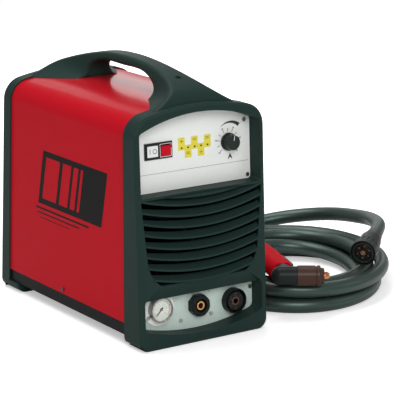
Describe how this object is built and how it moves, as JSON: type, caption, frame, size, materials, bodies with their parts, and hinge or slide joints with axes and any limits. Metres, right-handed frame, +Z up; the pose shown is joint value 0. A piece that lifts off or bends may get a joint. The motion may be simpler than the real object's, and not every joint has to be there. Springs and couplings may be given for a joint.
{
  "type": "plasma cutter power unit",
  "caption": "Portable inverter plasma cutter: red sheet-metal case between dark moulded ends with carry handle and louvred front, plus a coiled torch hose with angled torch and round plug.",
  "frame": {"origin": "on the floor, under the middle of the case: half-way across its width and midway between the front and rear mouldings' design planes", "axes": "+Z up, -Y out of the control face, +X to the right of someone facing the controls; the coiled hose lies on the +X side"},
  "size_m": [0.6393, 0.4672, 0.428],
  "materials": {
    "shell_plastic": "fine-grained moulded plastic, satin",
    "red_paint": "glossy powder coat",
    "black_paint": "satin powder coat",
    "grey_plate": "satin light grey, printed lines",
    "lower_plate": "satin pale grey-green",
    "black_steel": "blackened screw steel",
    "zinc_steel": "bright zinc plate",
    "black_plastic": "smooth black plastic",
    "knob_plastic": "dark grey-green knob plastic",
    "red_lens": "lit red rocker plastic",
    "led_lens": "tinted clear plastic",
    "board_green": "coated circuit board",
    "dark_steel": "plain steel",
    "chrome_ring": "polished ring",
    "dial_white": "printed dial card",
    "needle_black": "matt black",
    "lens_clear": "clear window",
    "socket_plastic": "hard black insulator",
    "brass": "machined",
    "copper": "machined copper",
    "fan_plastic": "glass-filled plastic",
    "aluminium": "extruded or die-cast",
    "clear_bowl": "clear bowl",
    "air_tube": "blue air tube",
    "capacitor_can": "sleeved can",
    "core_grey": "ferrite",
    "winding": "enamelled copper winding",
    "module_black": "potted module",
    "potted_case": "potted box",
    "torch_red": "satin red grip",
    "torch_black": "smooth black insulator",
    "cap_brown": "brown phenolic",
    "hose_rubber": "smooth dark sheath",
    "boot_rubber": "moulded boot",
    "plug_plastic": "hard dark plastic"
  },
  "bodies": {
    "case": {"front_bezel": "shell_plastic", "rear_bezel": "shell_plastic", "handle": "shell_plastic", "cover": "red_paint", "base_tray": "black_paint", "rear_panel": "black_paint", "control_plate": "grey_plate", "connection_plate": "lower_plate", "cover_screws": "black_steel", "handle_screws": "black_steel", "panel_screws": "zinc_steel", "rear_screws": "black_steel", "switch_housing": "black_plastic", "status_leds": "led_lens", "control_board": "board_green", "potentiometer": "dark_steel", "gauge_case": "dark_steel", "gauge_flange": "chrome_ring", "gauge_dial": "dial_white", "gauge_lens": "lens_clear", "earth_socket_body": "socket_plastic", "earth_socket_insert": "brass", "torch_socket_body": "socket_plastic", "torch_socket_contacts": "brass", "socket_nuts": "socket_plastic", "fan_frame": "fan_plastic", "fan_guard": "zinc_steel", "cable_gland": "socket_plastic", "air_inlet_fitting": "brass", "air_regulator": "aluminium", "filter_bowl": "clear_bowl", "solenoid_valve": "brass", "air_pipe": "air_tube", "heatsink": "aluminium", "power_modules": "module_black", "power_board": "board_green", "capacitors": "capacitor_can", "transformer_core": "core_grey", "transformer_winding": "winding", "output_choke": "winding", "hf_unit": "potted_case", "torch_grip": "torch_red", "torch_head": "torch_black", "retaining_cap": "cap_brown", "cutting_tip": "copper", "electrode": "copper", "torch_boot": "boot_rubber", "hose_coil": "hose_rubber", "hose_torch_run": "hose_rubber", "hose_plug_run": "hose_rubber", "connector_body": "plug_plastic", "connector_pins": "brass"},
    "rocker": {"switch_rocker": "red_lens"},
    "dial_knob": {"knob": "knob_plastic", "knob_shaft": "dark_steel"},
    "needle": {"gauge_needle": "needle_black"},
    "fan": {"fan_rotor": "fan_plastic"},
    "air_knob": {"regulator_knob": "black_plastic"},
    "trigger": {"torch_trigger": "torch_black"},
    "collar": {"connector_collar": "plug_plastic"}
  },
  "joints": [
    {"name": "rocker_tilt", "type": "hinge", "parent": "case", "child": "rocker", "pos_m": [-0.049, -0.17045, 0.30784], "axis": [-1, 0, 0], "range_deg": [0, 16]},
    {"name": "knob_turn", "type": "hinge", "parent": "case", "child": "dial_knob", "pos_m": [0.0705, -0.20049, 0.30766], "axis": [0, 0.9989, -0.0471], "range_deg": [-145, 125]},
    {"name": "needle_swing", "type": "hinge", "parent": "case", "child": "needle", "pos_m": [-0.0695, -0.19239, 0.058], "axis": [0, 0.9989, -0.0471], "range_deg": [0, 270], "stiffness_Nm_per_rad": 0.00001, "springref_deg": -17.19},
    {"name": "fan_spin", "type": "hinge", "parent": "case", "child": "fan", "pos_m": [0.018, 0.19162, 0.21553], "axis": [0, 0.9978, 0.0663], "continuous": true},
    {"name": "air_knob_turn", "type": "hinge", "parent": "case", "child": "air_knob", "pos_m": [-0.078, 0.22354, 0.18759], "axis": [0, 0.9978, 0.0663], "continuous": true},
    {"name": "trigger_press", "type": "hinge", "parent": "case", "child": "trigger", "pos_m": [0.21339, -0.14506, 0.0687], "axis": [0, 0, 1], "range_deg": [0, 6], "stiffness_Nm_per_rad": 1, "springref_deg": -4.58},
    {"name": "collar_turn", "type": "hinge", "parent": "case", "child": "collar", "pos_m": [0.36028, -0.16016, 0.0745], "axis": [-0.7803, -0.6188, -0.09], "continuous": true}
  ]
}
